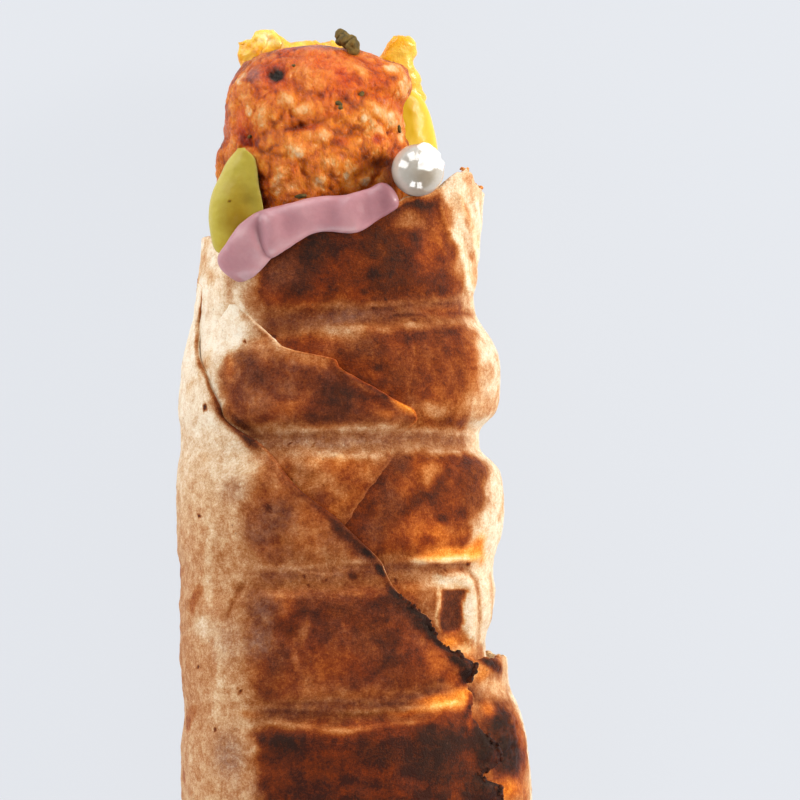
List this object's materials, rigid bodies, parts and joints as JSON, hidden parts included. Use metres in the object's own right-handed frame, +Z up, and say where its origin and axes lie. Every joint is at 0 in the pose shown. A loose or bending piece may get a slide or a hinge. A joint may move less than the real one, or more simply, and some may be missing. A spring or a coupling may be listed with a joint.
{
  "type": "doner kebab wrap",
  "caption": "Toasted flatbread rolled round grilled chicken, open at one end, with pickle, pepper, fried potato and sauces showing at the mouth.",
  "frame": {"origin": "on the resting plane, under the middle of the whole wrap's box", "axes": "+Y along the roll towards its open, filled end, +X to the right seen from above, +Z up through the shown face"},
  "size_m": [0.0744, 0.2212, 0.0537],
  "materials": {
    "toasted_bread": "dry toasted flatbread, pale grooves and browned bands, a little oil sheen",
    "grilled_chicken": "moist spiced grill crust, orange-red with oily highlights",
    "pickle": "wet, slightly translucent olive yellow",
    "yellow_pepper": "smooth glossy yellow skin",
    "fried_potato": "crisp golden fried surface",
    "pink_sauce": "thick satin cream, muted pink",
    "white_sauce": "thick glossy cream, off-white"
  },
  "bodies": {
    "root": {"flatbread": "toasted_bread", "chicken_filling": "grilled_chicken", "pickle_slice": "pickle", "yellow_pepper": "yellow_pepper", "fried_potato_left": "fried_potato", "fried_potato_right": "fried_potato", "pink_sauce": "pink_sauce", "white_sauce_drop": "white_sauce"}
  },
  "joints": []
}
